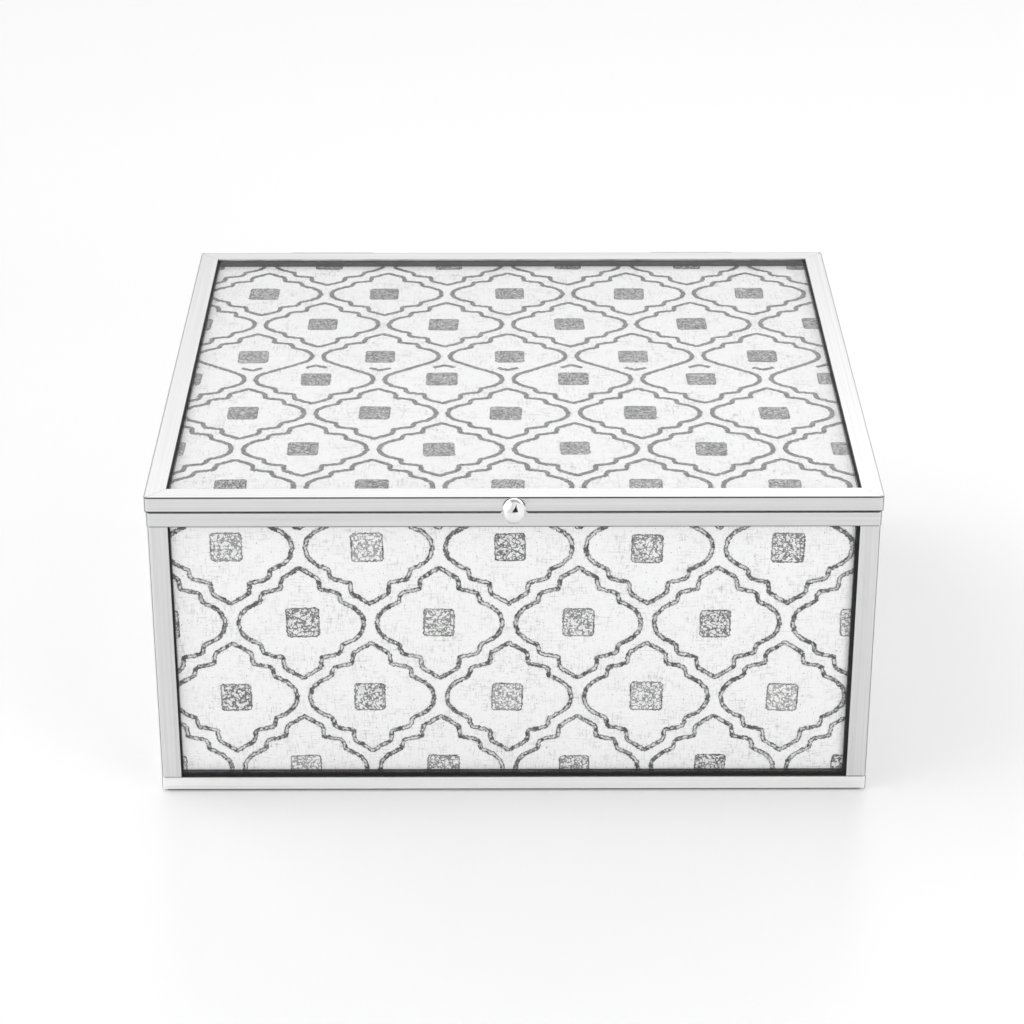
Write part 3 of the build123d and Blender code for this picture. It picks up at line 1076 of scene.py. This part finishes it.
def padMesh(name, low, high, crown):
    look = velvetPad

    def build(shape):
        xs = cushionLines(low.x, high.x)
        ys = cushionLines(low.y, high.y)
        top = []
        bottom = []
        for y in ys:
            topRow = []
            bottomRow = []
            for x in xs:
                margin = min(x - low.x, high.x - x, y - low.y, high.y - y, look["round"])
                turned = 1 - margin / look["round"]
                share = sqrt(max(0.0, 1 - turned**2))
                u = (2 * x - low.x - high.x) / (high.x - low.x)
                v = (2 * y - low.y - high.y) / (high.y - low.y)
                rise = crown * (1 - u**4) * (1 - v**4)
                ripple = noise.noise(Vector((x, y, low.z)) * look["unevenScale"]) * (1 - u**8) * (1 - v**8)
                foot = low.z + look["foot"]
                z = foot + (high.z - foot) * share + rise + look["unevenness"] * ripple
                topRow.append(shape.verts.new((x, y, z)))
                bottomRow.append(shape.verts.new((x, y, low.z)))
            top.append(topRow)
            bottom.append(bottomRow)
        rows, columns = len(ys), len(xs)
        for j in range(rows - 1):
            for i in range(columns - 1):
                shape.faces.new((top[j][i], top[j][i + 1], top[j + 1][i + 1], top[j + 1][i]))
                shape.faces.new((bottom[j][i], bottom[j + 1][i], bottom[j + 1][i + 1], bottom[j][i + 1]))
        ring = [(0, i) for i in range(columns)] + [(j, columns - 1) for j in range(1, rows)] \
            + [(rows - 1, i) for i in range(columns - 2, -1, -1)] + [(j, 0) for j in range(rows - 2, 0, -1)]
        for (j0, i0), (j1, i1) in zip(ring, ring[1:] + ring[:1]):
            shape.faces.new((bottom[j0][i0], bottom[j1][i1], top[j1][i1], top[j0][i0]))

    return meshFrom(name, build)


def puffUp(mesh, low, high):  # blows the cover up a little with cloth, and keeps its foot where it is glued
    look = velvetPuff
    puff = bpy.data.objects.new("puff", mesh)
    bpy.context.scene.collection.objects.link(puff)
    glued = puff.vertex_groups.new(name="glued")
    rim = velvetPad["round"] * look["gluedRim"]
    held = [v.index for v in mesh.vertices if v.co.z < low.z + velvetPad["foot"] * 1.5
            or min(v.co.x - low.x, high.x - v.co.x, v.co.y - low.y, high.y - v.co.y) < rim]
    glued.add(held, 1.0, "REPLACE")
    cloth = puff.modifiers.new("cloth", "CLOTH").settings
    cloth.quality = look["quality"]
    cloth.mass = look["mass"]
    cloth.tension_stiffness = look["stiffness"]
    cloth.compression_stiffness = look["stiffness"]
    cloth.bending_stiffness = look["bending"]
    cloth.use_pressure = True
    cloth.uniform_pressure_force = look["pressure"]
    cloth.vertex_group_mass = "glued"
    cloth.effector_weights.gravity = 0
    scene = bpy.context.scene
    for frameNumber in range(1, look["frames"] + 1):
        scene.frame_set(frameNumber)
    blown = evaluatedMesh(puff, mesh.name + "Blown")
    cap = look["cap"]
    for vertex, moved in zip(mesh.vertices, blown.vertices):
        step = moved.co - vertex.co
        if step.length > 1e-9:
            vertex.co += step * (cap * tanh(step.length / cap) / step.length)
    scene.frame_set(1)
    bpy.data.objects.remove(puff)
    bpy.data.meshes.remove(blown)


def addPad(name, nodeName, side, body, kind, turned=False):
    low, high = flatLimits(nodeName, side)
    mesh = padMesh(name, low, high, velvetPad[kind]["crown"])
    if velvetPad[kind]["blown"]:
        puffUp(mesh, low, high)
    if turned:  # it hangs with its velvet down
        lift = Matrix.Translation((0, 0, (low.z + high.z) / 2))
        mesh.transform(lift @ Matrix.Rotation(pi, 4, "Y") @ lift.inverted())
    mesh.transform(wallPlacement(side))
    piece = addPiece(name, mesh, body, [nodeName], velvet)


# A card's velvet looks into the box, so it is drawn on the plane of the opposite side
for side, facing in (("front", "back"), ("right", "left"), ("back", "front"), ("left", "right")):
    addPad(f"velvet_wall_{side}", f"wall_lining_{side}", facing, "box", "card")
addPad("velvet_floor_pad", "floor_pad", "lid", "box", "cushion")
addPad("velvet_lid_pad", "lid_lining", "lid", "lid", "cushion", True)
print("velvet pads made")


# Felt under the box

baseFelt = {"cornerRadius": 1.2 * mm, "cornerSteps": 6}


def addFelt():
    low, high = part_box("base_felt")
    r = baseFelt["cornerRadius"]

    def build(shape):
        outline = []
        for quarter in range(4):
            signX = 1 if quarter in (0, 3) else -1
            signY = 1 if quarter in (0, 1) else -1
            for step in range(baseFelt["cornerSteps"] + 1):
                turn = pi / 2 * (quarter + step / baseFelt["cornerSteps"])
                outline.append((signX * (high.x - r) + r * cos(turn), signY * (high.y - r) + r * sin(turn)))
        under = [shape.verts.new((x, y, low.z)) for x, y in outline]
        over = [shape.verts.new((x, y, high.z)) for x, y in outline]
        shape.faces.new(under)
        shape.faces.new(over)
        for k in range(len(outline)):
            after = (k + 1) % len(outline)
            shape.faces.new((under[k], under[after], over[after], over[k]))

    mesh = meshFrom("felt_base", build, smooth=False)
    piece = addPiece("felt_base", mesh, "box", ["base_felt"], felt)


addFelt()
print("felt laid")


# Floor, light and camera

studio = {
    "floorSize": 8.0,
    "floorTone": 0.975,
    "floorRoughness": 0.32,
    "floorSpecular": 0.35,
    "worldStrength": 0.945,
    "backCard": 1.0,  # a bright card behind the box, above a dimmer strip
    "backStrip": 0.80,
    "ceilingLoss": 0.45,
    "gapDepth": 0.97,
    "gapLeft": -0.30,  # the dark wedge above the camera, at its foot, seen from the box
    "gapRight": 0.57,
    "gapTip": 0.28,
    "glow": 1.1,  # the brighter patch, up on the left
    "glowTowards": (-0.82, 0.12, 0.50),
    "leftLoss": 0.14,
    "rightGain": 0.08,
    "camera": (-0.003108, -0.775728, 0.425888),
    "pitch": 26.357,
    "yaw": 0.2137,
    "lens": 105.626,
    "sensor": 36.0,
}


def addFloor():
    half = studio["floorSize"] / 2
    mesh = bpy.data.meshes.new("studioFloor")
    corners = [(x * half, y * half, 0) for x, y in ((-1, -1), (1, -1), (1, 1), (-1, 1))]
    mesh.from_pydata(corners, [], [(0, 1, 2, 3)])
    floor = bpy.data.objects.new("studioFloor", mesh)
    bpy.context.scene.collection.objects.link(floor)
    material, bench = newMaterial("studioFloor")
    coat(bench, {
        "Base Color": grey(studio["floorTone"]),
        "Roughness": studio["floorRoughness"],
        "Specular IOR Level": studio["floorSpecular"],
    })
    mesh.materials.append(material)


fillLamp = {
    "place": Vector((3.0, -3.6, 0.90)),
    "size": (2.7, 1.5),
    "aim": Vector((0, -0.1, 0.04)),
    "leftPower": 16.2,
    "rightPower": 64.8,
}


def addFill(name, side, power):  # a wide soft lamp that lights, but isn't mirrored or seen
    look = fillLamp
    data = bpy.data.lights.new(name, "AREA")
    data.shape = "RECTANGLE"
    data.size, data.size_y = look["size"]
    data.energy = power
    lamp = bpy.data.objects.new(name, data)
    bpy.context.scene.collection.objects.link(lamp)
    lamp.location = look["place"] * Vector((side, 1, 1))
    lamp.visible_glossy = False
    lamp.visible_camera = False
    lamp.rotation_euler = (look["aim"] - lamp.location).to_track_quat("-Z", "Y").to_euler()


def addWorld():  # white all round, with a dark wedge above the camera and a brighter patch on the left
    world = bpy.data.worlds.new("studioAir")
    bpy.context.scene.world = world
    world.use_nodes = True
    bench = Bench(world.node_tree)
    towards = bench.node("ShaderNodeTexCoord", {}, {}, "Generated")
    x = bench.node("ShaderNodeSeparateXYZ", {}, {0: towards})
    y, z = [Wire(bench, x.socket.node.outputs[k]) for k in (1, 2)]
    climb = bench.spread(z, 0.12, 1.15)
    leftSide = studio["gapLeft"] + climb * (studio["gapTip"] - studio["gapLeft"])
    rightSide = studio["gapRight"] + climb * (studio["gapTip"] - studio["gapRight"])
    between = bench.spread(x - leftSide, -0.03, 0.05) * bench.spread(rightSide - x, -0.03, 0.05)
    gap = between * bench.spread(0.0 - y, 0.0, 0.15) * bench.spread(z, 0.10, 0.22)
    onGlow = bench.vectorMaths("DOT_PRODUCT", towards, Vector(studio["glowTowards"]).normalized())
    onGlow = Wire(bench, onGlow.socket.node.outputs["Value"])
    glow = bench.spread(onGlow, 0.70, 0.84) * studio["glow"]
    behind = bench.spread(y, 0.45, 0.65)
    card = behind * bench.spread(z, 0.34, 0.42) * bench.spread(z, 0.58, 0.68, 1.0, 0.0) * studio["backCard"]
    strip = behind * bench.spread(z, 0.28, 0.36, 1.0, 0.0) * studio["backStrip"]
    ceiling = bench.spread(y, 0.10, 0.35) * bench.spread(z, 0.62, 0.72) * studio["ceilingLoss"]
    fromLeft = bench.spread(x, -0.3, 0.3, 1.0 - studio["leftLoss"], 1.0 + studio["rightGain"])
    shade = (1.0 + glow + card - strip - ceiling - gap * studio["gapDepth"]) * fromLeft
    seen = bench.node("ShaderNodeLightPath", {}, {}, "Is Camera Ray")
    shade = shade * (1.0 - seen) + seen  # the air itself is seen as plain white
    strength = shade * studio["worldStrength"]
    shine = bench.node("ShaderNodeBackground", {}, {"Color": grey(1.0), "Strength": strength})
    bench.node("ShaderNodeOutputWorld", {}, {"Surface": shine})


def addCamera():
    data = bpy.data.cameras.new("studioCamera")
    data.lens = studio["lens"]
    data.sensor_width = studio["sensor"]
    camera = bpy.data.objects.new("studioCamera", data)
    bpy.context.scene.collection.objects.link(camera)
    camera.location = studio["camera"]
    camera.rotation_euler = (radians(90 - studio["pitch"]), 0, radians(-studio["yaw"]))
    bpy.context.scene.camera = camera


addFloor()
addWorld()
addFill("fillLeft", -1, fillLamp["leftPower"])
addFill("fillRight", 1, fillLamp["rightPower"])
addCamera()
bpy.context.scene.view_settings.view_transform = "Standard"
print("studio set")
